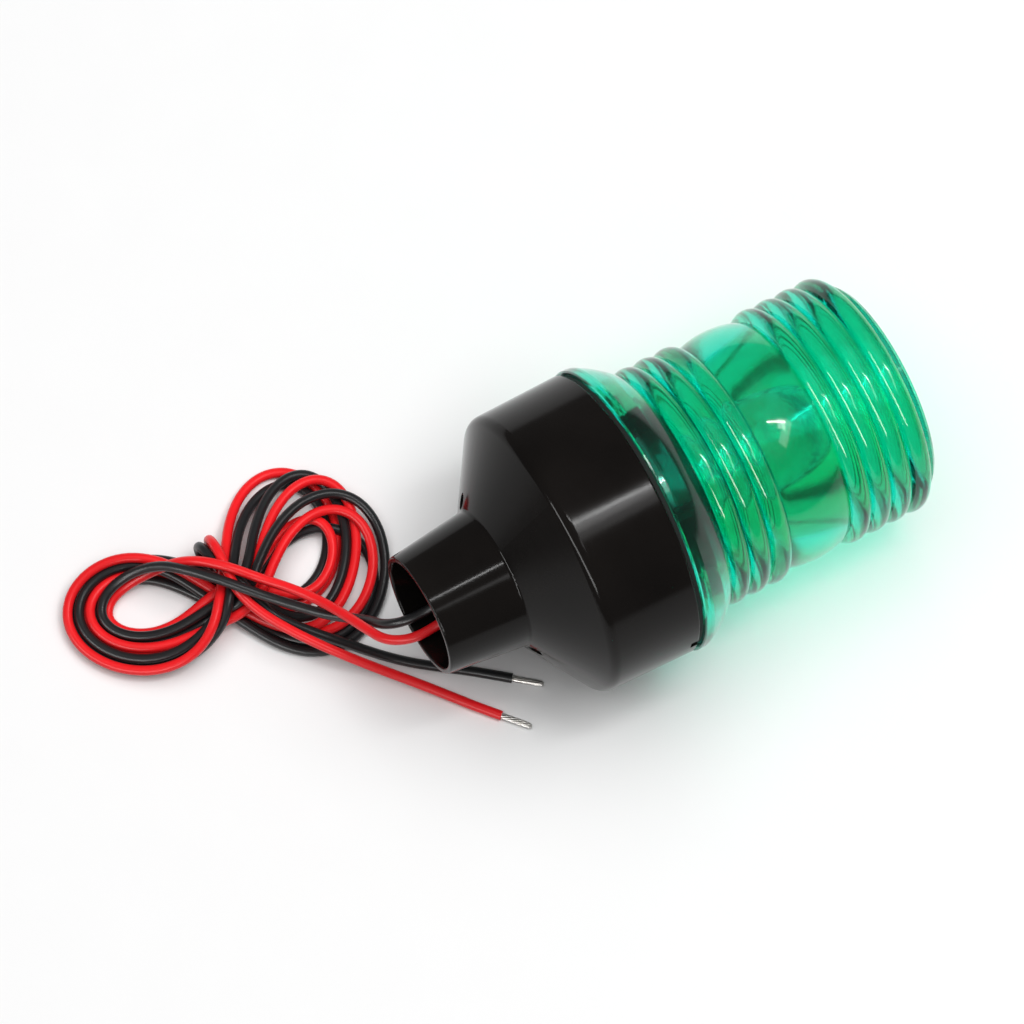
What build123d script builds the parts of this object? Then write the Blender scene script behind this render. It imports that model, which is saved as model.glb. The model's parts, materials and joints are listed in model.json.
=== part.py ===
from build123d import *
import math
import os

# All-round green navigation light for the top of a 1 inch pole, lying on its side.
# The row frame has +Z up with the floor at z = 0, and +X runs from the pole socket to the lens.
# Along the lamp's own axis, s is the distance from the mouth of the pole socket.

# ---------------------------------------------------------------- driving dimensions, in mm
pole_bore = 12.85  # radius: a 25.4 mm pole slides in
socket_depth = 22.5
mouth_radius = 14.25
neck_radius = 16.5
neck_end = 18.8
body_start = 30.4
body_radius = 33.6
rim_radius = 34.05
rim_end = 51.8
wall = 2.2

flange_face = 52.9
flange_thickness = 2.0
flange_radius = 34.4
bead_pitch = 5.25
bead_count_low = 3
bead_count_high = 4
first_bead = 66.15
first_high_bead = 97.3
bead_crest = 29.0
high_bead_crest = 28.75
bead_root = 26.85
belt_crest = 28.35
lens_end = 117.6
lens_bore = 23.6
skirt_radius = 29.9
skirt_bore = 28.1
skirt_start = 43.9

holder_radius = 27.6
holder_face = 53.6
boss_radius = 19.5
boss_end = 65.0

cap_radius = 7.45  # bulb cap of the 15 mm bayonet kind
cap_start = 49.0
cap_end = 66.0
pin_level = 55.0
bulb_radius = 12.4
bulb_end = 99.5
light_centre = 86.8

twist_lugs = 3
lug_width = 24.0  # degrees
ledge_width = 40.0  # degrees

lead_diameter = 2.3
strand_diameter = 1.5

# ---------------------------------------------------------------- where the lamp lies
# The lens flange and the crest of the last bead touch the floor.
flange_edge = flange_face + flange_thickness - 0.4
last_bead = first_high_bead + (bead_count_high - 1) * bead_pitch
tilt = math.atan2(flange_radius - high_bead_crest, last_bead - flange_edge)
along = Vector(math.cos(tilt), 0, -math.sin(tilt))
upward = Vector(math.sin(tilt), 0, math.cos(tilt))
sideways = Vector(0, 1, 0)
mouth_height = flange_radius * math.cos(tilt) + flange_edge * math.sin(tilt)
end_radius = 24.7
box_length = lens_end * math.cos(tilt) + (end_radius + mouth_radius) * math.sin(tilt)
mouth = Vector(mouth_radius * math.sin(tilt) - box_length / 2, 0, mouth_height)

section = Plane(origin=mouth, x_dir=upward, z_dir=sideways)  # x is the radius, y is s
lamp_axis = Axis(mouth, along)


def lamp_point(s, up=0.0, side=0.0):
    """A point at s along the lamp, up from its axis and to the side."""
    return mouth + along * s + upward * up + sideways * side


def across(s):
    """The plane across the lamp at s: x is up, y is -Y."""
    return Plane(origin=lamp_point(s), x_dir=upward, z_dir=along)


def finish(builder, name):
    """Labels a finished piece and writes its STEP file."""
    builder.part.label = name
    export_step(builder.part, "parts/" + name + ".step")


os.makedirs("parts", exist_ok=True)

# ---------------------------------------------------------------- housing
cone_run = body_start - neck_end
cone_rise = body_radius - neck_radius
cone_length = math.hypot(cone_run, cone_rise)
inner_shift_radius = wall * cone_run / cone_length
inner_shift_s = wall * cone_rise / cone_length
inner_radius = 31.9
socket_wall = 15.0
web_thickness = 2.5
lead_hole = 4.3
cone_slope = cone_rise / cone_run
inner_neck_s = neck_end + inner_shift_s + (socket_wall - neck_radius + inner_shift_radius) / cone_slope
inner_corner_s = neck_end + inner_shift_s + (inner_radius - neck_radius + inner_shift_radius) / cone_slope
screw_circle = 18.4
screw_angle = -73.0
screw_hole = 1.05
screw_recess = 1.6
screw_shank = 0.9
post_radius = 2.6
post_seat = 27.0
ledge_start = 46.7
ledge_end = 48.7
ledge_radius = 30.3

with BuildPart() as housing:
    with BuildSketch(section) as housing_section:
        with BuildLine():
            Polyline(
                (pole_bore, 0),
                (mouth_radius, 0),
                (neck_radius, neck_end),
                (body_radius, body_start),
                (rim_radius, rim_end),
                (inner_radius, rim_end),
                (inner_radius, inner_corner_s),
                (socket_wall, inner_neck_s),
                (socket_wall, socket_depth + web_thickness),
                (lead_hole, socket_depth + web_thickness),
                (lead_hole, socket_depth),
                (pole_bore, socket_depth),
                close=True,
            )
        make_face()
        corners = housing_section.vertices()
        shoulder_corner = corners.sort_by_distance((body_radius, body_start))[0]
        fillet(shoulder_corner, radius=2.8)
        corners = housing_section.vertices()
        neck_corner = corners.sort_by_distance((neck_radius, neck_end))[0]
        fillet(neck_corner, radius=1.0)
        corners = housing_section.vertices()
        rim_corner = corners.sort_by_distance((rim_radius, rim_end))[0]
        fillet(rim_corner, radius=0.5)
        corners = housing_section.vertices()
        lip_corners = corners.sort_by_distance((mouth_radius, 0))[0:2]
        fillet(lip_corners, radius=0.5)
    revolve(axis=lamp_axis)
    # bosses inside the cone that the two holder screws pass through
    with BuildSketch(across(neck_end + 3.4)):
        with PolarLocations(screw_circle, 2, start_angle=screw_angle):
            Circle(post_radius)
    extrude(amount=post_seat - neck_end - 3.4)
    with BuildSketch(across(neck_end - 1.0)):
        with PolarLocations(screw_circle, 2, start_angle=screw_angle):
            Circle(screw_hole)
    extrude(amount=post_seat - neck_end + 1.5, mode=Mode.SUBTRACT)
    # the mouths of the screw holes are as wide as the screw heads
    with BuildSketch(across(neck_end - 1.0)):
        with PolarLocations(screw_circle, 2, start_angle=screw_angle):
            Circle(screw_recess)
    extrude(amount=4.6, mode=Mode.SUBTRACT)
    with BuildSketch(section):
        with BuildLine():
            Polyline(
                (pole_bore, 10.0),
                (socket_wall, 10.0),
                (socket_wall, socket_depth + web_thickness),
                (pole_bore, socket_depth + web_thickness),
                close=True,
            )
        make_face()
    revolve(axis=lamp_axis)
    # ledges that hold the lugs of the lens skirt, each with a stop at one end
    with BuildSketch(across(ledge_start)):
        for turn in range(twist_lugs):
            middle = 360.0 / twist_lugs * turn
            with BuildLine():
                start = middle - ledge_width / 2
                inner = CenterArc((0, 0), ledge_radius, start, ledge_width)
                outer = CenterArc((0, 0), inner_radius + 0.6, start, ledge_width)
                Line(inner @ 0, outer @ 0)
                Line(inner @ 1, outer @ 1)
            make_face()
    extrude(amount=ledge_end - ledge_start)
    with BuildSketch(across(skirt_start - 0.6)):
        for turn in range(twist_lugs):
            middle = 360.0 / twist_lugs * turn
            with BuildLine():
                start = middle - lug_width / 2 - 4.0
                inner = CenterArc((0, 0), ledge_radius, start, 3.0)
                outer = CenterArc((0, 0), inner_radius + 0.6, start, 3.0)
                Line(inner @ 0, outer @ 0)
                Line(inner @ 1, outer @ 1)
            make_face()
    extrude(amount=ledge_start - skirt_start + 0.8)
    # notch in the rim for prising the lens round
    notch_plane = Plane(origin=lamp_point(rim_end, side=-rim_radius), x_dir=along, z_dir=-sideways)
    with BuildSketch(notch_plane):
        Rectangle(4.2, 2.6)
    extrude(amount=4.0, both=True, mode=Mode.SUBTRACT)
finish(housing, "housing")

# ---------------------------------------------------------------- lens
# A stack of ring prisms: a flange, a rounded shoulder, three beads, a wide belt and four beads.
flange_top = flange_face + flange_thickness
half_pitch = bead_pitch / 2
shoulder_start = (flange_radius - 0.15, flange_top + 0.3)
shoulder_middle = (32.0, flange_top + 4.2)
shoulder_tip = (28.9, flange_top + 7.9)
shoulder_root = first_bead - half_pitch
low_beads = [first_bead + bead_pitch * i for i in range(bead_count_low)]
high_beads = [first_high_bead + bead_pitch * i for i in range(bead_count_high)]
belt_start = low_beads[-1] + half_pitch
belt_end = high_beads[0] - half_pitch
last_root = high_beads[-1] + half_pitch - 0.35
end_cap_radius = 25.5

with BuildPart() as lens:
    with BuildSketch(section):
        with BuildLine():
            Polyline(
                (0, lens_end),
                (end_radius, lens_end),
                (end_cap_radius, lens_end - 0.8),
                (end_cap_radius, last_root),
                (bead_root, last_root),
            )
            ThreePointArc(
                (bead_root, last_root),
                (high_bead_crest, high_beads[-1]),
                (bead_root, high_beads[-1] - half_pitch),
            )
            for bead in high_beads[:-1]:
                ThreePointArc(
                    (bead_root, bead + half_pitch),
                    (high_bead_crest, bead),
                    (bead_root, bead - half_pitch),
                )
            ThreePointArc(
                (bead_root, belt_end),
                (belt_crest, (belt_start + belt_end) / 2),
                (bead_root, belt_start),
            )
            for bead in low_beads:
                ThreePointArc(
                    (bead_root, bead + half_pitch),
                    (bead_crest, bead),
                    (bead_root, bead - half_pitch),
                )
            Line((bead_root, shoulder_root), shoulder_tip)
            ThreePointArc(shoulder_tip, shoulder_middle, shoulder_start)
            Polyline(
                shoulder_start,
                (flange_radius, flange_top - 0.4),
                (flange_radius, flange_face + 0.3),
                (flange_radius - 0.3, flange_face),
                (skirt_radius, flange_face),
                (skirt_radius, skirt_start),
                (skirt_bore, skirt_start),
                (skirt_bore, 55.5),
                (27.4, 58.6),
                (25.6, 61.2),
                (lens_bore + 0.4, 63.0),
                (lens_bore, lens_end - 2.8),
                (0, lens_end - 2.8),
                (0, lens_end),
            )
        make_face()
    revolve(axis=lamp_axis)
    with BuildSketch(across(skirt_start)):
        for turn in range(twist_lugs):
            middle = 360.0 / twist_lugs * turn
            with BuildLine():
                start = middle - lug_width / 2
                inner = CenterArc((0, 0), skirt_radius - 0.6, start, lug_width)
                outer = CenterArc((0, 0), inner_radius - 0.4, start, lug_width)
                Line(inner @ 0, outer @ 0)
                Line(inner @ 1, outer @ 1)
            make_face()
    extrude(amount=ledge_start - skirt_start - 0.3)
finish(lens, "lens")

# ---------------------------------------------------------------- seal between housing and lens
with BuildPart() as lens_seal:
    with BuildSketch(section):
        with Locations((32.2, (rim_end + flange_face) / 2)):
            Rectangle(1.9, flange_face - rim_end - 0.02)
    revolve(axis=lamp_axis)
finish(lens_seal, "lens_seal")

# ---------------------------------------------------------------- lamp holder
holder_thickness = 2.6
boss_hollow_radius = 17.3
boss_hollow_end = 62.6
sleeve_radius = 12.0
socket_radius = 8.55
socket_floor = 45.28
with BuildPart() as lamp_holder:
    with BuildSketch(section) as holder_section:
        with BuildLine():
            Polyline(
                (socket_radius, socket_floor - 2.0),
                (socket_radius, boss_end),
                (boss_radius, boss_end),
                (boss_radius, holder_face),
                (holder_radius, holder_face),
                (holder_radius, holder_face - holder_thickness),
                (boss_hollow_radius, holder_face - holder_thickness),
                (boss_hollow_radius, boss_hollow_end),
                (sleeve_radius, boss_hollow_end),
                (sleeve_radius, socket_floor - 2.0),
                close=True,
            )
        make_face()
        top_corners = holder_section.vertices().sort_by_distance((boss_radius, boss_end))
        fillet(top_corners[0], radius=0.8)
    revolve(axis=lamp_axis)
    # ribs that brace the boss against the plate
    with BuildSketch(across(holder_face - 0.5)):
        with PolarLocations(boss_radius + 2.4, 6, start_angle=30):
            Rectangle(6.0, 1.6)
    extrude(amount=6.0)
    # posts that the two screws bite into
    with BuildSketch(across(post_seat + 0.05)):
        with PolarLocations(screw_circle, 2, start_angle=screw_angle):
            Circle(post_radius)
    extrude(amount=holder_face - holder_thickness - post_seat + 0.5)
    with BuildSketch(across(post_seat - 1.0)):
        with PolarLocations(screw_circle, 2, start_angle=screw_angle):
            Circle(screw_shank)
    extrude(amount=13.0, mode=Mode.SUBTRACT)
finish(lamp_holder, "lamp_holder")

# ---------------------------------------------------------------- holder screws
head_seat = neck_end + 3.6
with BuildPart() as holder_screws:
    with BuildSketch(across(head_seat)):
        with PolarLocations(screw_circle, 2, start_angle=screw_angle):
            Circle(screw_shank)
    extrude(amount=post_seat + 11.0 - head_seat)
    with BuildSketch(across(head_seat - 1.2)):
        with PolarLocations(screw_circle, 2, start_angle=screw_angle):
            Circle(screw_recess - 0.15)
    extrude(amount=1.2)
    with BuildSketch(across(head_seat - 1.2)):
        with PolarLocations(screw_circle, 2, start_angle=screw_angle):
            Rectangle(1.9, 0.45)
            Rectangle(0.45, 1.9)
    extrude(amount=0.7, mode=Mode.SUBTRACT)
finish(holder_screws, "holder_screws")

# ---------------------------------------------------------------- bulb socket
shell_outer = 8.5
shell_inner = 7.75
slot_width = 2.5
press_travel = 1.5
slot_drop = press_travel + slot_width / 2
with BuildPart() as socket_shell:
    with BuildSketch(section):
        with BuildLine():
            Polyline(
                (shell_inner, socket_floor),
                (shell_inner, boss_end + 0.6),
                (9.4, boss_end + 0.6),
                (9.4, boss_end + 0.02),
                (shell_outer, boss_end + 0.02),
                (shell_outer, socket_floor),
                close=True,
            )
        make_face()
    revolve(axis=lamp_axis)
    # the two J slots: an entry along the axis, a turn, and a pocket where the pins rest
    with BuildSketch(across(pin_level - slot_drop)):
        with PolarLocations(shell_outer, 2, start_angle=20):
            Rectangle(4.0, slot_width)
    extrude(amount=boss_end - pin_level + 4.0, mode=Mode.SUBTRACT)
    with BuildSketch(across(pin_level - slot_drop)):
        for side in range(2):
            with BuildLine():
                start = 180.0 * side - 9.0
                inner = CenterArc((0, 0), shell_inner - 0.6, start, 38.0)
                outer = CenterArc((0, 0), shell_outer + 0.6, start, 38.0)
                Line(inner @ 0, outer @ 0)
                Line(inner @ 1, outer @ 1)
            make_face()
    extrude(amount=slot_width, mode=Mode.SUBTRACT)
    with BuildSketch(across(pin_level - slot_drop)):
        with PolarLocations(shell_outer, 2):
            Rectangle(4.0, slot_width)
    extrude(amount=slot_drop + slot_width / 2, mode=Mode.SUBTRACT)
finish(socket_shell, "socket_shell")

# ---------------------------------------------------------------- sprung contacts
contact_side = 3.2
plunger_radius = 1.3
collar_radius = 1.9
block_start = 45.3
block_end = 47.0
plunger_tip = cap_start - 0.42
collar_start = 44.0
base_floor = 36.6
base_thickness = 1.6
plate_top = base_floor + base_thickness + 0.32

# insulating disc that guides the two plungers
with BuildPart() as contact_guide:
    with BuildSketch(across(block_start)):
        Circle(shell_inner)
        with Locations((0, contact_side), (0, -contact_side)):
            Circle(plunger_radius + 0.05, mode=Mode.SUBTRACT)
    extrude(amount=block_end - block_start)
finish(contact_guide, "contact_guide")

# cup under the socket that carries the solder tags
with BuildPart() as socket_base:
    with BuildSketch(across(base_floor)):
        Circle(shell_outer - 0.02)
    extrude(amount=base_thickness)
    with BuildSketch(across(base_floor + base_thickness)):
        Circle(shell_outer - 0.02)
        Circle(shell_outer - 1.2, mode=Mode.SUBTRACT)
    extrude(amount=socket_floor - base_floor - base_thickness)
    with BuildSketch(across(base_floor - 0.1)):
        with Locations((0, contact_side), (0, -contact_side)):
            Rectangle(0.8, 2.6)
    extrude(amount=base_thickness + 0.2, mode=Mode.SUBTRACT)
finish(socket_base, "socket_base")

spring_wire = 0.2
spring_radius = 1.2
spring_turns = 6
spring_low = plate_top + spring_wire + 0.01
spring_high = collar_start - spring_wire - 0.01
lead_colours = ("red", "black")
contact_sides = (contact_side, -contact_side)
for colour, side in zip(lead_colours, contact_sides):
    with BuildPart() as plunger:
        with BuildSketch(across(collar_start)):
            with Locations((0, side)):
                Circle(plunger_radius)
        extrude(amount=plunger_tip - collar_start)
        with BuildSketch(across(collar_start)):
            with Locations((0, side)):
                Circle(collar_radius)
        extrude(amount=block_start - collar_start - 0.02)
        chamfer(plunger.faces().sort_by(lamp_axis)[-1].edges(), length=0.35)
    finish(plunger, colour + "_plunger")

    spring_frame = Plane(origin=lamp_point(spring_low, side=-side), x_dir=upward, z_dir=along)
    coil = Helix(
        pitch=(spring_high - spring_low) / spring_turns,
        height=spring_high - spring_low,
        radius=spring_radius,
        center=spring_frame.origin,
        direction=spring_frame.z_dir,
    )
    with BuildPart() as plunger_spring:
        with BuildSketch(Plane(origin=coil @ 0, z_dir=coil % 0)):
            Circle(spring_wire)
        sweep(path=coil)
    finish(plunger_spring, colour + "_plunger_spring")

# solder tags: a plate that the spring stands on and a blade through the floor of the cup
tag_tip = base_floor - 4.4
for colour, side in zip(lead_colours, contact_sides):
    with BuildPart() as solder_tag:
        with BuildSketch(across(tag_tip)):
            with Locations((0, side)):
                Rectangle(0.78, 2.58)
        extrude(amount=base_floor + base_thickness + 0.02 - tag_tip)
        with BuildSketch(across(base_floor + base_thickness + 0.01)):
            with Locations((0, side)):
                Circle(1.75)
        extrude(amount=0.31)
        hole_plane = Plane(origin=lamp_point(tag_tip + 1.2, side=-side), x_dir=along, z_dir=upward)
        with BuildSketch(hole_plane):
            Circle(0.55)
        extrude(amount=2.0, both=True, mode=Mode.SUBTRACT)
    finish(solder_tag, colour + "_tag")

# ---------------------------------------------------------------- bulb
with BuildPart() as bulb_cap:
    with BuildSketch(section):
        with BuildLine():
            Polyline(
                (cap_radius - 0.8, cap_start),
                (cap_radius, cap_start + 0.8),
                (cap_radius, cap_end),
                (cap_radius - 0.35, cap_end),
                (cap_radius - 0.35, cap_start + 1.2),
                (cap_radius - 1.2, cap_start + 0.4),
                (cap_radius - 1.2, cap_start),
                close=True,
            )
        make_face()
    revolve(axis=lamp_axis)
finish(bulb_cap, "bulb_cap")

with BuildPart() as bulb_pins:
    pin_plane = Plane(origin=lamp_point(pin_level), x_dir=along, z_dir=upward)
    with BuildSketch(pin_plane.offset(cap_radius + 0.02)):
        Circle(1.0)
    extrude(amount=0.95)
    with BuildSketch(pin_plane.offset(-cap_radius - 0.02)):
        Circle(1.0)
    extrude(amount=-0.95)
finish(bulb_pins, "bulb_pins")

with BuildPart() as bulb_insulator:
    with BuildSketch(across(cap_start + 0.02)):
        Circle(cap_radius - 1.25)
    extrude(amount=1.6)
finish(bulb_insulator, "bulb_insulator")

with BuildPart() as bulb_contacts:
    with BuildSketch(across(cap_start - 0.4)):
        with Locations((0, contact_side), (0, -contact_side)):
            Circle(1.5)
    extrude(amount=0.4)
    round_edges = bulb_contacts.edges().filter_by(GeomType.CIRCLE)
    fillet(round_edges.sort_by(lamp_axis)[0:2], radius=0.3)
finish(bulb_contacts, "bulb_contacts")

glass = 0.6
neck_glass = cap_radius - 0.45
with BuildPart() as bulb_glass:
    with BuildSketch(section):
        with BuildLine():
            Line((neck_glass, cap_end - 3.0), (neck_glass, cap_end + 2.5))
            Spline(
                (neck_glass, cap_end + 2.5),
                (bulb_radius, light_centre - 1.0),
                tangents=((0, 1), (0, 1)),
            )
            Spline(
                (bulb_radius, light_centre - 1.0),
                (0, bulb_end),
                tangents=((0, 1), (-1, 0)),
            )
            Line((0, bulb_end), (0, bulb_end - glass))
            Spline(
                (0, bulb_end - glass),
                (bulb_radius - glass, light_centre - 1.0),
                tangents=((1, 0), (0, -1)),
            )
            Spline(
                (bulb_radius - glass, light_centre - 1.0),
                (neck_glass - glass, cap_end + 2.5),
                tangents=((0, -1), (0, -1)),
            )
            Polyline(
                (neck_glass - glass, cap_end + 2.5),
                (neck_glass - glass, cap_end - 3.0),
                (neck_glass, cap_end - 3.0),
            )
        make_face()
    revolve(axis=lamp_axis)
finish(bulb_glass, "bulb_glass")

with BuildPart() as bulb_stem:
    with BuildSketch(section):
        with BuildLine():
            Polyline(
                (0, cap_start + 2.0),
                (4.6, cap_start + 2.0),
                (2.6, cap_start + 9.0),
                (1.7, light_centre - 16.0),
                (1.2, light_centre - 13.0),
                (0, light_centre - 13.0),
                close=True,
            )
        make_face()
    revolve(axis=lamp_axis)
finish(bulb_stem, "bulb_stem")

support_reach = 3.4
post_routes = [
    FilletPolyline(
        lamp_point(light_centre - 12.95, side=0.8 * side),
        lamp_point(light_centre - 8.0, side=1.6 * side),
        lamp_point(light_centre - 3.0, side=support_reach * side),
        lamp_point(light_centre + 0.4, side=(support_reach + 0.2) * side),
        radius=1.0,
    )
    for side in (-1, 1)
]
with BuildPart() as filament_posts:
    for post_route in post_routes:
        with BuildSketch(Plane(origin=post_route @ 0, z_dir=post_route % 0)):
            Circle(0.3)
        sweep(path=post_route)
finish(filament_posts, "filament_posts")

filament_radius = 0.75
filament_turns = 9
with BuildPart() as filament:
    filament_start = lamp_point(light_centre, side=-support_reach + 0.5)
    filament_line = Helix(
        pitch=(2 * support_reach - 1.0) / filament_turns,
        height=2 * support_reach - 1.0,
        radius=filament_radius,
        center=filament_start,
        direction=sideways,
    )
    with BuildSketch(Plane(origin=filament_line @ 0, z_dir=filament_line % 0)):
        Circle(0.14)
    sweep(path=filament_line)
finish(filament, "filament")

# ---------------------------------------------------------------- lead grommet
lead_side = 2.0
with BuildPart() as lead_grommet:
    with BuildSketch(section):
        with BuildLine():
            Polyline(
                (0, socket_depth - 1.6),
                (5.2, socket_depth - 1.6),
                (6.2, socket_depth - 0.6),
                (6.2, socket_depth - 0.02),
                (lead_hole - 0.02, socket_depth - 0.02),
                (lead_hole - 0.02, socket_depth + web_thickness + 0.02),
                (5.8, socket_depth + web_thickness + 0.02),
                (5.0, socket_depth + web_thickness + 1.6),
                (0, socket_depth + web_thickness + 1.6),
                close=True,
            )
        make_face()
    revolve(axis=lamp_axis)
    with BuildSketch(across(socket_depth - 2.0)):
        with Locations((0, lead_side), (0, -lead_side)):
            Circle(lead_diameter / 2)
    extrude(amount=web_thickness + 5.0, mode=Mode.SUBTRACT)
finish(lead_grommet, "lead_grommet")


# ---------------------------------------------------------------- leads
def corner_radii(points, share=0.45):
    """The largest arc that each corner's two runs allow."""
    radii = []
    for before, corner, after in zip(points, points[1:], points[2:]):
        arriving = corner - before
        leaving = after - corner
        turn = math.radians(arriving.get_angle(leaving))
        radii.append(share * min(arriving.length, leaving.length) / math.tan(turn / 2))
    return radii


def lead_tube(name, points, radius):
    """A plain tube through the route's points, with an arc at each corner."""
    radii = corner_radii(points)
    route = FilletPolyline(*points, radius=radii)
    with BuildPart() as tube:
        with BuildSketch(Plane(origin=points[0], z_dir=points[1] - points[0])):
            Circle(radius)
        sweep(path=route)
    finish(tube, name)
    expected = math.pi * radius**2 * route.length
    print(name, "length", round(route.length, 1), "radii", [round(r, 1) for r in radii],
          "volume ratio", round(tube.part.volume / expected, 4))
    return route.length


# the stretch of each lead from its solder tag to the grommet, inside the housing
grommet_back = socket_depth + web_thickness + 1.6
for colour, side in zip(lead_colours, (-1, 1)):
    inner_points = [
        lamp_point(tag_tip + 3.2, up=1.4, side=side * contact_side),
        lamp_point(tag_tip, up=1.45, side=side * (contact_side + 0.1)),
        lamp_point(grommet_back + 2.8, up=0.0, side=side * lead_side),
        lamp_point(grommet_back, up=0.0, side=side * lead_side),
    ]
    lead_tube(colour + "_inner_lead", inner_points, lead_diameter / 2 - 0.15)

# the free leads: through the grommet, down to the bottom of the pole socket and over its lip
# to the waist of the hank
red_route = [
    lamp_point(grommet_back, side=-lead_side),
    lamp_point(16.2, side=-lead_side),
    Vector(-49.0, -1.5, 33.4),
    Vector(-54.8, -1.0, 29.3),
    Vector(-61.2, -1.0, 28.4),
    Vector(-66.4, 2.4, 25.8),
    Vector(-68.6, 8.3, 22.6),
    Vector(-70.6, 14.2, 19.2),
    Vector(-73.4, 20.6, 16.2),
    Vector(-77.6, 27.2, 14.0),
    Vector(-82.0, 32.4, 12.9),
]
black_route = [
    lamp_point(grommet_back, side=lead_side),
    lamp_point(16.2, side=lead_side),
    Vector(-49.0, 2.4, 33.4),
    Vector(-54.8, 3.0, 29.4),
    Vector(-61.0, 3.5, 28.4),
    Vector(-64.9, 6.0, 25.2),
    Vector(-66.6, 9.8, 20.6),
    Vector(-69.4, 13.6, 16.2),
    Vector(-73.2, 17.4, 13.8),
    Vector(-77.8, 22.6, 12.8),
    Vector(-82.4, 27.8, 12.2),
]
lead_tube("red_lead", red_route, lead_diameter / 2)
lead_tube("black_lead", black_route, lead_diameter / 2)

# the tails, from under the hank's binding to the stripped ends
red_tail_route = [
    Vector(-87.0, 30.4, 10.2),
    Vector(-84.6, 24.4, 9.9),
    Vector(-80.9, 18.4, 9.3),
    Vector(-76.7, 12.8, 8.2),
    Vector(-72.4, 7.8, 6.7),
    Vector(-68.0, 3.0, 5.0),
    Vector(-63.8, -1.4, 3.5),
    Vector(-59.7, -5.9, 2.3),
    Vector(-55.6, -10.8, 1.5),
    Vector(-52.2, -15.0, 1.25),
    Vector(-48.9, -18.9, 1.25),
]
black_tail_route = [
    Vector(-85.6, 30.2, 7.3),
    Vector(-82.9, 25.0, 7.2),
    Vector(-79.3, 20.1, 6.9),
    Vector(-75.3, 15.6, 6.2),
    Vector(-71.1, 11.4, 5.0),
    Vector(-66.7, 6.9, 3.7),
    Vector(-61.8, 2.5, 2.5),
    Vector(-56.2, -1.7, 1.7),
    Vector(-50.4, -5.9, 1.35),
    Vector(-46.2, -9.3, 1.25),
    Vector(-42.5, -12.4, 1.25),
]
lead_tube("red_tail", red_tail_route, lead_diameter / 2)
lead_tube("black_tail", black_tail_route, lead_diameter / 2)

# tinned strands that stand out of the stripped ends
strand_length = 7.4
for colour, tail in zip(lead_colours, (red_tail_route, black_tail_route)):
    strand_direction = (tail[-1] - tail[-2]).normalized()
    with BuildPart() as strands:
        with BuildSketch(Plane(origin=tail[-1], z_dir=strand_direction)):
            Circle(strand_diameter / 2)
        extrude(amount=strand_length)
        tip = strands.edges().filter_by(GeomType.CIRCLE).sort_by(Axis(tail[-1], strand_direction))[-1]
        chamfer(tip, length=0.35)
    finish(strands, colour + "_strands")

# ---------------------------------------------------------------- hank
# The leads are laid up in a figure of eight and bound at its waist.
near_lobe_centre = (-68.5, 35.2)
near_lobe_size = (18.6, 22.7)
near_hollow_centre = (-71.5, 36.0)
near_hollow_size = (5.4, 4.6)
far_lobe_centre = (-107.0, 40.4)
far_lobe_size = (19.8, 16.9)
far_lobe_turn = -22.0
far_hollow_centre = (-106.5, 42.2)
far_hollow_size = (6.5, 3.4)
lobe_height = 6.4
waist_centre = (-88.2, 38.0)
waist_size = (13.0, 23.0)
waist_height = 15.6

with BuildPart() as lead_hank:
    with BuildSketch(Plane.XY):
        with Locations(near_lobe_centre):
            Ellipse(*near_lobe_size)
        with Locations(near_hollow_centre):
            Ellipse(*near_hollow_size, mode=Mode.SUBTRACT)
        with Locations(far_lobe_centre):
            Ellipse(*far_lobe_size, rotation=far_lobe_turn)
        with Locations(far_hollow_centre):
            Ellipse(*far_hollow_size, mode=Mode.SUBTRACT)
    extrude(amount=lobe_height)
    with BuildSketch(Plane.XY):
        with Locations(waist_centre):
            RectangleRounded(*waist_size, radius=5.0)
    extrude(amount=waist_height)
    fillet(lead_hank.edges().group_by(Axis.Z)[-1], radius=3.0)
finish(lead_hank, "lead_hank")

print("tilt", round(math.degrees(tilt), 3), "mouth", [round(v, 3) for v in mouth])
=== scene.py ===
import json
import math

import bmesh
import bpy
import numpy as np
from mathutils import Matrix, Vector


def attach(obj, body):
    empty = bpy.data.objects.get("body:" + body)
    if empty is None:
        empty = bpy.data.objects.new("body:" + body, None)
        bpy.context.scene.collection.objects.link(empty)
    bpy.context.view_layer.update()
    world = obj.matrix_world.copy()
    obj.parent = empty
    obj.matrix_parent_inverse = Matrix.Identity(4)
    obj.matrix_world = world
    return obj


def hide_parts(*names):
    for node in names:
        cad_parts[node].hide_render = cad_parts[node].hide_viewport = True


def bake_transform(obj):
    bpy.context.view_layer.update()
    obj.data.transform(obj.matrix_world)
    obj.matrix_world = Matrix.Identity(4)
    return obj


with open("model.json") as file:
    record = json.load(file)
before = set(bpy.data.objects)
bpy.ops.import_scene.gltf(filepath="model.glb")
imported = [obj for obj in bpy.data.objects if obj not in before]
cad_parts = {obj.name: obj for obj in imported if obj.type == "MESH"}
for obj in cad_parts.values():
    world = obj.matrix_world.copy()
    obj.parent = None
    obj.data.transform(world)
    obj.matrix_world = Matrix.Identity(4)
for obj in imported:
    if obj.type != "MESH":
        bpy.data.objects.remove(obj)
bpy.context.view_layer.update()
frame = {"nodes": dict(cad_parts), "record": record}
NODES = frame["nodes"]
MM = 0.001

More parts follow.
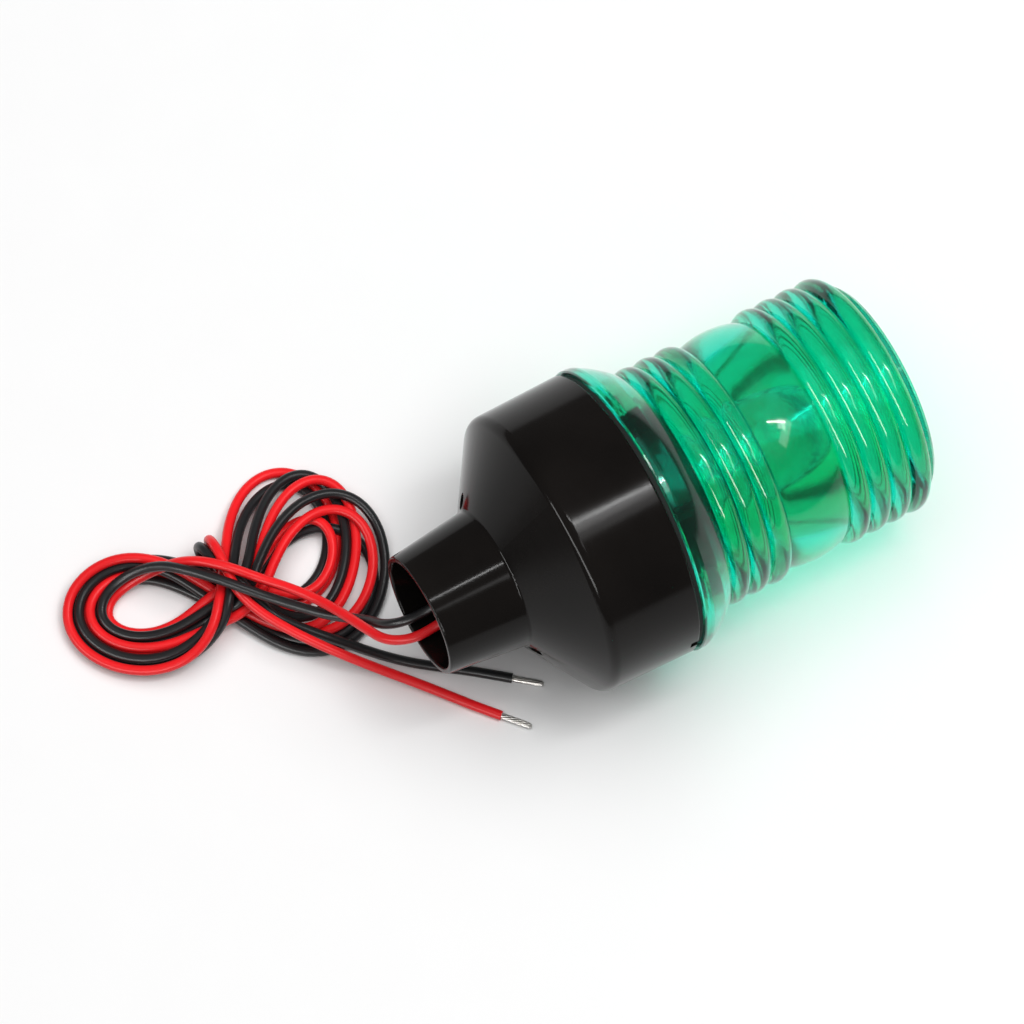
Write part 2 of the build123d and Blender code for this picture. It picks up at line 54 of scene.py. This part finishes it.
# ---------------------------------------------------------------- camera
camera_data = bpy.data.cameras.new("camera")
camera_data.sensor_fit = "HORIZONTAL"
camera_data.sensor_width = 36.0
camera_data.angle = math.radians(9.3758)
camera_data.clip_start = 0.05
camera_data.clip_end = 20.0
camera = bpy.data.objects.new("camera", camera_data)
camera.location = (-0.24222, -0.36837, 1.34784)
look_down = 71.612
look_aside = -29.285
camera.rotation_euler = (math.radians(90.0 - look_down), 0.0, math.radians(look_aside))
bpy.context.scene.collection.objects.link(camera)
bpy.context.scene.camera = camera

# ---------------------------------------------------------------- where the lamp lies
# in mm: it rests on the lens flange and on the crest of the last bead
flange_edge = 54.5
flange_radius = 34.4
last_bead = 113.05
bead_crest = 28.75
tilt = math.atan2(flange_radius - bead_crest, last_bead - flange_edge)
along = np.array([math.cos(tilt), 0.0, -math.sin(tilt)])
upward = np.array([math.sin(tilt), 0.0, math.cos(tilt)])
mouth = np.array([-59.03, 0.0, 39.476])


def lamp_point(s, up=0.0, side=0.0):
    """A point in mm at s along the lamp, up from its axis and to the side."""
    return mouth + along * s + upward * up + np.array([0.0, side, 0.0])


# ---------------------------------------------------------------- the way the leads take, in mm
wire = 2.3
grommet_back = 26.6
inside_socket = 16.2
lead_offset = 2.0
red_in = [
    lamp_point(grommet_back, side=-lead_offset),
    lamp_point(inside_socket, side=-lead_offset),
    (-49.0, -1.5, 33.4),
    (-54.8, -1.0, 29.3),
    (-61.2, -1.0, 28.4),
    (-66.4, 2.4, 25.8),
    (-68.6, 8.3, 22.6),
    (-70.6, 14.2, 19.2),
    (-73.4, 20.6, 16.2),
    (-77.6, 27.2, 14.0),
    (-82.0, 32.4, 12.9),
]
black_in = [
    lamp_point(grommet_back, side=lead_offset),
    lamp_point(inside_socket, side=lead_offset),
    (-49.0, 2.4, 33.4),
    (-54.8, 3.0, 29.4),
    (-61.0, 3.5, 28.4),
    (-64.9, 6.0, 25.2),
    (-66.6, 9.8, 20.6),
    (-69.4, 13.6, 16.2),
    (-73.2, 17.4, 13.8),
    (-77.8, 22.6, 12.8),
    (-82.4, 27.8, 12.2),
]
red_tail = [
    (-87.0, 30.4, 10.2),
    (-84.6, 24.4, 9.9),
    (-80.9, 18.4, 9.3),
    (-76.7, 12.8, 8.2),
    (-72.4, 7.8, 6.7),
    (-68.0, 3.0, 5.0),
    (-63.8, -1.4, 3.5),
    (-59.7, -5.9, 2.3),
    (-55.6, -10.8, 1.5),
    (-52.2, -15.0, 1.25),
    (-48.9, -18.9, 1.25),
]
black_tail = [
    (-85.6, 30.2, 7.3),
    (-82.9, 25.0, 7.2),
    (-79.3, 20.1, 6.9),
    (-75.3, 15.6, 6.2),
    (-71.1, 11.4, 5.0),
    (-66.7, 6.9, 3.7),
    (-61.8, 2.5, 2.5),
    (-56.2, -1.7, 1.7),
    (-50.4, -5.9, 1.35),
    (-46.2, -9.3, 1.25),
    (-42.5, -12.4, 1.25),
]

# the far lobe of the hank lies between these two outlines, walked from the top of the waist
# round to its bottom
far_outer = [
    (-97, 50),
    (-105, 54.3),
    (-113, 55.7),
    (-120.5, 53.8),
    (-124.8, 48.5),
    (-124.6, 41),
    (-120.5, 33.5),
    (-114, 28.2),
    (-107, 25.6),
    (-100.5, 25.8),
    (-94, 28),
]
far_inner = [
    (-98.5, 46.6),
    (-103.5, 48.6),
    (-108.5, 49.4),
    (-113, 48.6),
    (-116, 45.6),
    (-115.6, 41.8),
    (-112.4, 38.4),
    (-108, 36.4),
    (-103.5, 35.6),
    (-99, 35.4),
    (-95, 35.8),
]
# the loops of the near lobe, red then black: x and y of the centre, half length, half width,
# slant of the long side in degrees, height at the end that lies furthest in +y
near_loops = (
    (
        (-71.3, 35.2, 10.4, 7.6, 34, 4.6),
        (-68.3, 29.4, 15.8, 11.6, 41, 8.0),
        (-69.2, 34.9, 18.8, 11.3, 52, 7.0),
        (-71.8, 41.9, 17.0, 12.8, 67, 2.0),
    ),
    (
        (-70.4, 28.8, 15.0, 13.2, 16, 4.6),
        (-68.5, 29.7, 19.6, 14.5, 42, 8.0),
        (-69.7, 37.7, 18.5, 11.3, 58, 5.5),
        (-72.0, 41.0, 14.9, 10.8, 55, 3.6),
    ),
)
turns = 4
lane_count = 2 * turns
# every other lane rides on its neighbours
lane_heights = (3.55, 1.25)
# a loop of the near lobe goes round from loop_start by loop_step, in degrees, and rises with y
loop_points = 12
loop_start = 168.0
loop_step = 28.0
low_height = 2.4
rise_from = 18.0
rise_over = 26.0
outward_height = 2.4
return_height = 7.0
turn_rise = 1.1
# where the straight ways between the lobes pass the waist
crossing_shares = (0.36, 0.68)


def far_lobe(lane):
    """One pass round the far lobe, in one of its lanes."""
    share = lane / (lane_count - 1)
    height = lane_heights[lane % 2]
    return [
        (a[0] + (b[0] - a[0]) * share, a[1] + (b[1] - a[1]) * share, height)
        for a, b in zip(far_outer, far_inner)
    ]


def near_lobe(loop):
    """One pass round the near lobe, from the top of the waist round to its bottom."""
    x, y, half_length, half_width, slant, height = loop
    slant = math.radians(slant)
    points = []
    for step in range(loop_points):
        angle = math.radians(loop_start - loop_step * step) - slant
        u = half_length * math.cos(angle)
        v = half_width * math.sin(angle)
        px = x + u * math.cos(slant) - v * math.sin(slant)
        py = y + u * math.sin(slant) + v * math.cos(slant)
        share = min(max((py - rise_from) / rise_over, 0.0), 1.0)
        points.append((px, py, low_height + (height - low_height) * share))
    return points


def crossing(start, end, height):
    """Two points on the straight way from one lobe to the other, over the waist."""
    return [
        (start[0] + (end[0] - start[0]) * share, start[1] + (end[1] - start[1]) * share, height)
        for share in crossing_shares
    ]


def hank(cord):
    """The turns of one lead, from the innermost to the last."""
    points = []
    for turn in range(turns):
        pair = turns - 1 - turn
        lane = 2 * pair + (cord if pair % 2 == 0 else 1 - cord)
        far = far_lobe(lane)
        near = near_lobe(near_loops[cord][turn])
        if points:
            points += crossing(points[-1], far[0], outward_height + turn_rise * turn + cord)
        points += far
        points += crossing(far[-1], near[0], return_height + turn_rise * turn + cord)
        points += near
    return points


# from the pole socket's run over the waist and down into the far lobe
red_dive = [
    (-87.0, 38.0, 15.4),
    (-92.0, 42.8, 12.6),
    (-96.8, 45.8, 7.4),
]
black_dive = [
    (-87.2, 33.4, 14.2),
    (-92.0, 38.8, 12.0),
    (-97.0, 43.2, 6.8),
]
# once under the waist, up its far side and back over the top, to bind it
red_wrap = [
    (-87.0, 31.4, 1.3),
    (-87.6, 36.2, 1.3),
    (-87.6, 41.2, 1.3),
    (-87.4, 45.6, 2.2),
    (-87.4, 48.2, 6.4),
    (-87.4, 46.8, 11.4),
    (-87.4, 42.4, 14.0),
    (-87.4, 38.0, 13.2),
    (-87.3, 34.2, 11.6),
]
black_wrap = [
    (-89.8, 32.0, 1.3),
    (-90.2, 36.8, 1.3),
    (-90.2, 41.6, 1.3),
    (-90.2, 45.6, 2.2),
    (-90.2, 48.0, 6.2),
    (-90.0, 46.6, 10.8),
    (-89.4, 42.2, 12.6),
    (-87.8, 38.0, 10.8),
    (-86.2, 34.0, 9.0),
]
red_way = red_in + red_dive + hank(0) + red_wrap + red_tail
black_way = black_in + black_dive + hank(1) + black_wrap + black_tail
paths = {
    "red": np.array([tuple(place) for place in red_way], float),
    "black": np.array([tuple(place) for place in black_way], float),
}


def spline_matrix(count, per_span=4):
    """The rows that turn control points into points on their clamped quadratic spline."""
    spans = count - 2
    rows = []
    for step in range(spans * per_span + 1):
        t = min(step / per_span, spans - 1e-9)
        span = int(t)
        row = np.zeros(count)
        row[span:span + 3] = basis(span, t, spans)
        rows.append(row)
    return np.array(rows)


def basis(k, t, spans):
    """The three weights of a clamped uniform quadratic spline on its span k."""
    t0, t1 = max(k - 1, 0), k
    t2, t3 = k + 1, min(k + 2, spans)
    n1 = (t2 - t) / (t2 - t1)
    n2 = (t - t1) / (t2 - t1)
    w0 = (t2 - t) / (t2 - t0) * n1
    w2 = (t - t1) / (t3 - t1) * n2
    return w0, 1.0 - w0 - w2, w2


# how the leads settle on one another: distances in mm, the rest as shares of a step
settle_rounds = 1200
look_again_every = 20
near_enough = 3 * wire
lead_gap = wire + 0.04
floor_gap = wire / 2 + 0.02
skipped_neighbours = 9
upward_bias = 0.25
sideways_share = 0.6
step_gain = 1.6
pull_home = np.array([0.02, 0.02, 0.0])
sink = 0.01
straighten = np.array([-0.012, -0.012, -0.02])


def stacked_splines(sizes):
    """One matrix for the points on all the leads, the matrix that stiffens them, and for each point
    the lead it is on and its place along that lead."""
    matrices = [spline_matrix(size) for size in sizes]
    matrix = np.zeros((sum(len(rows) for rows in matrices), sum(sizes)))
    bends = np.zeros((sum(sizes), sum(sizes)))
    row = column = 0
    for rows, size in zip(matrices, sizes):
        matrix[row:row + len(rows), column:column + size] = rows
        for middle in range(column + 1, column + size - 1):
            bends[middle, middle - 1:middle + 2] = (1.0, -2.0, 1.0)
        row += len(rows)
        column += size
    owner = np.concatenate([np.full(len(rows), index) for index, rows in enumerate(matrices)])
    order = np.concatenate([np.arange(len(rows)) for rows in matrices])
    return matrix, bends.T @ bends, owner, order


def push_apart(points, first, second):
    """How far each point moves, so that the pairs that touch come clear, mostly upward, and so that
    none is in the floor."""
    gap = points[first] - points[second]
    distance = np.sqrt((gap**2).sum(1))
    close = distance < lead_gap
    first, second, gap, distance = first[close], second[close], gap[close], distance[close]
    gap[:, 2] += np.where(gap[:, 2] >= 0, upward_bias, -upward_bias)
    gap[:, :2] *= sideways_share
    gap /= np.sqrt((gap**2).sum(1))[:, None] + 1e-9
    push = gap * ((lead_gap - distance) * 0.5)[:, None]
    move = np.zeros_like(points)
    count = np.zeros(len(points))
    np.add.at(move, first, push)
    np.add.at(move, second, -push)
    np.add.at(count, first, 1)
    np.add.at(count, second, 1)
    move /= np.maximum(count, 1)[:, None] ** 0.5
    move[:, 2] += np.maximum(floor_gap - points[:, 2], 0)
    return move


def settle(paths, held):
    """Pushes apart the stretches of lead that touch, evens out their bends and keeps them over the
    floor. Points that are held stay where they are."""
    sizes = [len(path) for path in paths.values()]
    control = np.vstack(list(paths.values()))
    home = control.copy()
    matrix, stiffening, owner, order = stacked_splines(sizes)
    free = np.concatenate([1.0 - held[name] for name in paths])[:, None]
    weight = matrix.sum(0)[:, None]
    first, second = np.triu_indices(len(matrix), 1)
    along_lead = np.abs(order[first] - order[second])
    apart = (owner[first] != owner[second]) | (along_lead > skipped_neighbours)
    every_first, every_second = first[apart], second[apart]
    for round_number in range(settle_rounds):
        points = matrix @ control
        if round_number % look_again_every == 0:
            spread = np.abs(points[every_first] - points[every_second]).max(1)
            near = spread < near_enough
            first, second = every_first[near], every_second[near]
        step = (matrix.T @ push_apart(points, first, second)) / weight * step_gain
        back = (home - control) * pull_home
        back[:, 2] -= sink
        even = stiffening @ control * straighten
        control = control + (step + back + even) * free
        control[:, 2] = np.maximum(control[:, 2], wire / 2)
    settled = np.split(control, np.cumsum(sizes)[:-1])
    return dict(zip(paths, settled))


# held: the way in, the tail, and the fold at the far side of the waist
fold_points = 5
parts_of_way = {
    "red": (red_in, red_wrap, red_tail),
    "black": (black_in, black_wrap, black_tail),
}
held = {}
for name, (lead_in, wrap, tail) in parts_of_way.items():
    flags = np.zeros(len(paths[name]))
    flags[:len(lead_in)] = 1.0
    flags[len(flags) - len(tail) + 1:] = 1.0
    fold = len(flags) - len(tail) - len(wrap) + 2
    flags[fold:fold + fold_points] = 1.0
    held[name] = flags
paths = settle(paths, held)


# ---------------------------------------------------------------- leads
def evaluated_mesh(curve_object):
    """The mesh that a curve object makes as it stands."""
    bpy.context.view_layer.update()
    depsgraph = bpy.context.evaluated_depsgraph_get()
    return bpy.data.meshes.new_from_object(curve_object.evaluated_get(depsgraph))


def lead_tube(name, points, diameter):
    """A lead as a round tube along one open spline, and the points of the line that it follows."""
    curve = bpy.data.curves.new(name + "_line", "CURVE")
    curve.dimensions = "3D"
    curve.resolution_u = 6
    spline = curve.splines.new("NURBS")
    spline.points.add(len(points) - 1)
    for point, place in zip(spline.points, points):
        point.co = (place[0] * MM, place[1] * MM, place[2] * MM, 1.0)
    spline.order_u = 3
    spline.use_endpoint_u = True
    guide = bpy.data.objects.new(name + "_line", curve)
    bpy.context.scene.collection.objects.link(guide)
    path = [tuple(corner.co) for corner in evaluated_mesh(guide).vertices]
    curve.bevel_depth = diameter / 2
    curve.bevel_resolution = 5
    curve.use_fill_caps = True
    tube = evaluated_mesh(guide)
    tube.name = name
    bpy.data.objects.remove(guide)
    piece = bpy.data.objects.new(name, tube)
    bpy.context.scene.collection.objects.link(piece)
    return piece, path


cords = {}
cord_paths = {}
for name, points in paths.items():
    cords[name], cord_paths[name] = lead_tube(name + "_cord", points, wire * MM)

# ---------------------------------------------------------------- stripped ends, in mm
strand_count = 7
outer_strands = strand_count - 1
strand_length = 7.4
strand_trim = 0.1
strand_start = 0.6
bundle_radius = 0.75
strand_radius = 0.25
strand_overlap = 0.02
strand_sides = 8
strand_steps = 28
lay_pitch = 8.5
shortest_by = 0.35
drawn_in_from = 0.8
drawn_in_over = 0.2
drawn_in_by = 0.25
cut_end_share = 0.55


def strand_bundle(name, start, before):
    """Seven tinned strands laid up round one another, standing out of a stripped lead."""
    ahead = Vector(start) - Vector(before)
    ahead.normalize()
    across = ahead.cross(Vector((0.0, 0.0, 1.0))).normalized()
    above = across.cross(ahead)
    shape = bmesh.new()
    for strand in range(strand_count):
        in_middle = strand == outer_strands
        swing = 0.0 if in_middle else bundle_radius - strand_radius - strand_overlap
        reach = strand_length - strand_trim
        reach -= shortest_by * ((strand * 5) % strand_count) / strand_count
        rings = []
        for step in range(strand_steps + 1):
            share = step / strand_steps
            s = -strand_start + (reach + strand_start) * share
            turn = math.tau * (strand / outer_strands + s / lay_pitch)
            bulge = 1.0 - drawn_in_by * max(share - drawn_in_from, 0.0) / drawn_in_over
            radius = strand_radius * (cut_end_share if step == strand_steps else 1.0)
            centre = Vector(start) + ahead * s
            centre += (across * math.cos(turn) + above * math.sin(turn)) * swing * bulge
            ring = []
            for side in range(strand_sides):
                angle = math.tau * side / strand_sides
                place = centre + (across * math.cos(angle) + above * math.sin(angle)) * radius
                ring.append(shape.verts.new(place * MM))
            rings.append(ring)
        for near, far in zip(rings, rings[1:]):
            for side in range(strand_sides):
                after = (side + 1) % strand_sides
                shape.faces.new((near[side], near[after], far[after], far[side]))
        shape.faces.new(rings[0][::-1])
        shape.faces.new(rings[-1])
    for face in shape.faces:
        face.smooth = len(face.verts) == 4
    mesh = bpy.data.meshes.new(name)
    shape.to_mesh(mesh)
    shape.free()
    piece = bpy.data.objects.new(name, mesh)
    bpy.context.scene.collection.objects.link(piece)
    return piece


strands = {}
for name, tail in (("red", red_tail), ("black", black_tail)):
    piece = strand_bundle(name + "_strand_bundle", tail[-1], tail[-2])
    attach(piece, "base")
    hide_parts(name + "_strands")
    strands[name] = piece

for name, piece in cords.items():
    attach(piece, "base")
    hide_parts(name + "_lead", name + "_tail", "lead_hank")


# ---------------------------------------------------------------- contact springs
springs = {}
for name in cords:
    node = NODES[name + "_plunger_spring"]
    coil = node.data.copy()
    coil.transform(node.matrix_world)
    piece = bpy.data.objects.new(name + "_spring_coil", coil)
    bpy.context.scene.collection.objects.link(piece)
    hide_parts(name + "_plunger_spring")
    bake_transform(piece)
    springs[name] = piece


# ---------------------------------------------------------------- materials
bump_depth = 0.0002


def material(
    name,
    colour,
    rough=0.4,
    metallic=0.0,
    transmission=0.0,
    ior=1.5,
    coat=0.0,
    bump=0.0,
    bump_scale=900.0,
    vary=0.12,
    vary_scale=60.0,
    rough_vary=0.08,
    shadow_tint=None,
):
    """A procedural material: colour and roughness that drift a little, over a fine bump.

    shadow_tint lets light through to what lies behind, in that colour."""
    made = bpy.data.materials.new(name)
    made.use_nodes = True
    tree = made.node_tree
    shader = tree.nodes["Principled BSDF"]
    shader.inputs["Metallic"].default_value = metallic
    shader.inputs["IOR"].default_value = ior
    shader.inputs["Transmission Weight"].default_value = transmission
    shader.inputs["Coat Weight"].default_value = coat
    place = tree.nodes.new("ShaderNodeTexCoord")
    drift = tree.nodes.new("ShaderNodeTexNoise")
    drift.inputs["Scale"].default_value = vary_scale
    drift.inputs["Detail"].default_value = 4.0
    tree.links.new(place.outputs["Object"], drift.inputs["Vector"])
    ramp = tree.nodes.new("ShaderNodeValToRGB")
    low = [c * (1.0 - vary) for c in colour]
    high = [min(c * (1.0 + vary), 1.0) for c in colour]
    ramp.color_ramp.elements[0].position = 0.3
    ramp.color_ramp.elements[0].color = (*low, 1.0)
    ramp.color_ramp.elements[1].position = 0.7
    ramp.color_ramp.elements[1].color = (*high, 1.0)
    tree.links.new(drift.outputs["Fac"], ramp.inputs["Fac"])
    tree.links.new(ramp.outputs["Color"], shader.inputs["Base Color"])
    spread = tree.nodes.new("ShaderNodeMapRange")
    spread.inputs["To Min"].default_value = max(rough - rough_vary, 0.0)
    spread.inputs["To Max"].default_value = rough + rough_vary
    tree.links.new(drift.outputs["Fac"], spread.inputs["Value"])
    tree.links.new(spread.outputs["Result"], shader.inputs["Roughness"])
    if bump:
        grain = tree.nodes.new("ShaderNodeTexNoise")
        grain.inputs["Scale"].default_value = bump_scale
        grain.inputs["Detail"].default_value = 3.0
        tree.links.new(place.outputs["Object"], grain.inputs["Vector"])
        raised = tree.nodes.new("ShaderNodeBump")
        raised.inputs["Strength"].default_value = bump
        raised.inputs["Distance"].default_value = bump_depth
        tree.links.new(grain.outputs["Fac"], raised.inputs["Height"])
        tree.links.new(raised.outputs["Normal"], shader.inputs["Normal"])
    if shadow_tint:
        path = tree.nodes.new("ShaderNodeLightPath")
        through = tree.nodes.new("ShaderNodeBsdfTransparent")
        through.inputs["Color"].default_value = (*shadow_tint, 1.0)
        mix = tree.nodes.new("ShaderNodeMixShader")
        tree.links.new(path.outputs["Is Shadow Ray"], mix.inputs[0])
        tree.links.new(shader.outputs["BSDF"], mix.inputs[1])
        tree.links.new(through.outputs["BSDF"], mix.inputs[2])
        tree.links.new(mix.outputs["Shader"], tree.nodes["Material Output"].inputs["Surface"])
    return made


looks = {
    "housing_black": material(
        "housing_black",
        (0.006, 0.005, 0.0045),
        rough=0.12,
        ior=1.24,
        rough_vary=0.04,
        bump=0.03,
        bump_scale=500,
        vary=0.2,
    ),
    "holder_black": material(
        "holder_black",
        (0.006, 0.006, 0.006),
        rough=0.4,
        bump=0.08,
        vary=0.2,
    ),
    "lens_green": material(
        "lens_green",
        (0.002, 0.74, 0.5),
        rough=0.1,
        rough_vary=0.02,
        transmission=1.0,
        coat=0.4,
        ior=1.36,
        vary=0.03,
        bump=0.015,
        bump_scale=200,
        shadow_tint=(0.44, 0.80, 0.73),
    ),
    "seal_rubber": material(
        "seal_rubber",
        (0.012, 0.012, 0.012),
        rough=0.75,
        bump=0.2,
        vary=0.2,
    ),
    "red_pvc": material(
        "red_pvc",
        (0.82, 0.012, 0.016),
        ior=1.38,
        rough=0.33,
        bump=0.06,
        vary=0.08,
    ),
    "black_pvc": material(
        "black_pvc",
        (0.012, 0.012, 0.013),
        rough=0.36,
        bump=0.06,
        vary=0.15,
    ),
    "tinned_copper": material(
        "tinned_copper",
        (0.62, 0.6, 0.57),
        rough=0.3,
        metallic=1.0,
        vary=0.15,
        vary_scale=900.0,
    ),
    "brass_plated": material(
        "brass_plated",
        (0.72, 0.55, 0.28),
        rough=0.3,
        metallic=1.0,
        vary=0.1,
    ),
    "spring_steel": material(
        "spring_steel",
        (0.6, 0.6, 0.6),
        rough=0.28,
        metallic=1.0,
        vary=0.08,
    ),
    "screw_steel": material(
        "screw_steel",
        (0.5, 0.5, 0.5),
        rough=0.32,
        metallic=1.0,
        vary=0.08,
    ),
    "bulb_glass": material(
        "bulb_glass",
        (0.97, 0.98, 0.98),
        rough=0.01,
        rough_vary=0.005,
        transmission=1.0,
        ior=1.47,
        vary=0.01,
        shadow_tint=(0.98, 0.98, 0.98),
    ),
    "insulator_tan": material(
        "insulator_tan",
        (0.16, 0.09, 0.05),
        rough=0.6,
        bump=0.1,
        vary=0.15,
    ),
    "tungsten": material(
        "tungsten",
        (0.25, 0.25, 0.26),
        rough=0.45,
        metallic=1.0,
        vary=0.1,
    ),
}
slot_of = {row["node"]: row["material_slot"] for row in frame["record"]["subparts"]}
for name, node in NODES.items():
    node.data.materials.clear()
    node.data.materials.append(looks[slot_of[name]])
for name, piece in cords.items():
    piece.data.materials.append(looks[name + "_pvc"])
    strands[name].data.materials.append(looks["tinned_copper"])
    springs[name].data.materials.clear()
    springs[name].data.materials.append(looks["spring_steel"])

# ---------------------------------------------------------------- floor and light
floor_reach = 4.0
floor_mesh = bpy.data.meshes.new("floor")
shape = bmesh.new()
bmesh.ops.create_grid(shape, x_segments=8, y_segments=8, size=floor_reach)
shape.to_mesh(floor_mesh)
shape.free()
floor = bpy.data.objects.new("floor", floor_mesh)
bpy.context.scene.collection.objects.link(floor)
floor.data.materials.append(material("floor_white", (0.86, 0.86, 0.86), rough=0.7, vary=0.004))


def softbox(name, place, size, power, look_at=(0.0, 0.0, 0.02)):
    """A rectangular light that faces the object."""
    light = bpy.data.lights.new(name, "AREA")
    light.shape = "RECTANGLE"
    light.size, light.size_y = size
    light.energy = power
    lamp = bpy.data.objects.new(name, light)
    lamp.location = place
    toward = Vector(look_at) - Vector(place)
    lamp.rotation_euler = toward.to_track_quat("-Z", "Y").to_euler()
    bpy.context.scene.collection.objects.link(lamp)
    return lamp


# the top light makes the even light on the floor and has no reflection of its own
top = softbox("top", (0.1, 0.05, 1.7), (2.0, 2.0), 33.5)
top.visible_glossy = False
# the strip is only a reflection, along the shoulder and the neck of the housing
strip = softbox("strip", (-0.92, -0.3, 0.6), (1.4, 0.18), 10.0)
strip.visible_diffuse = False
# one window: its bright edge, and the softer light below it
softbox("glint", (0.22, -0.08, 1.2), (0.03, 0.45), 1.6)
softbox("sheen", (0.3, -0.16, 1.2), (0.2, 0.2), 0.9)
softbox("glow", (0.3, -0.34, 1.2), (0.6, 0.2), 1.1)

world = bpy.data.worlds.new("studio")
world.use_nodes = True
background = world.node_tree.nodes["Background"]
background.inputs["Color"].default_value = (1.0, 1.0, 1.0, 1.0)
background.inputs["Strength"].default_value = 0.16
bpy.context.scene.world = world
bpy.context.scene.view_settings.view_transform = "Standard"
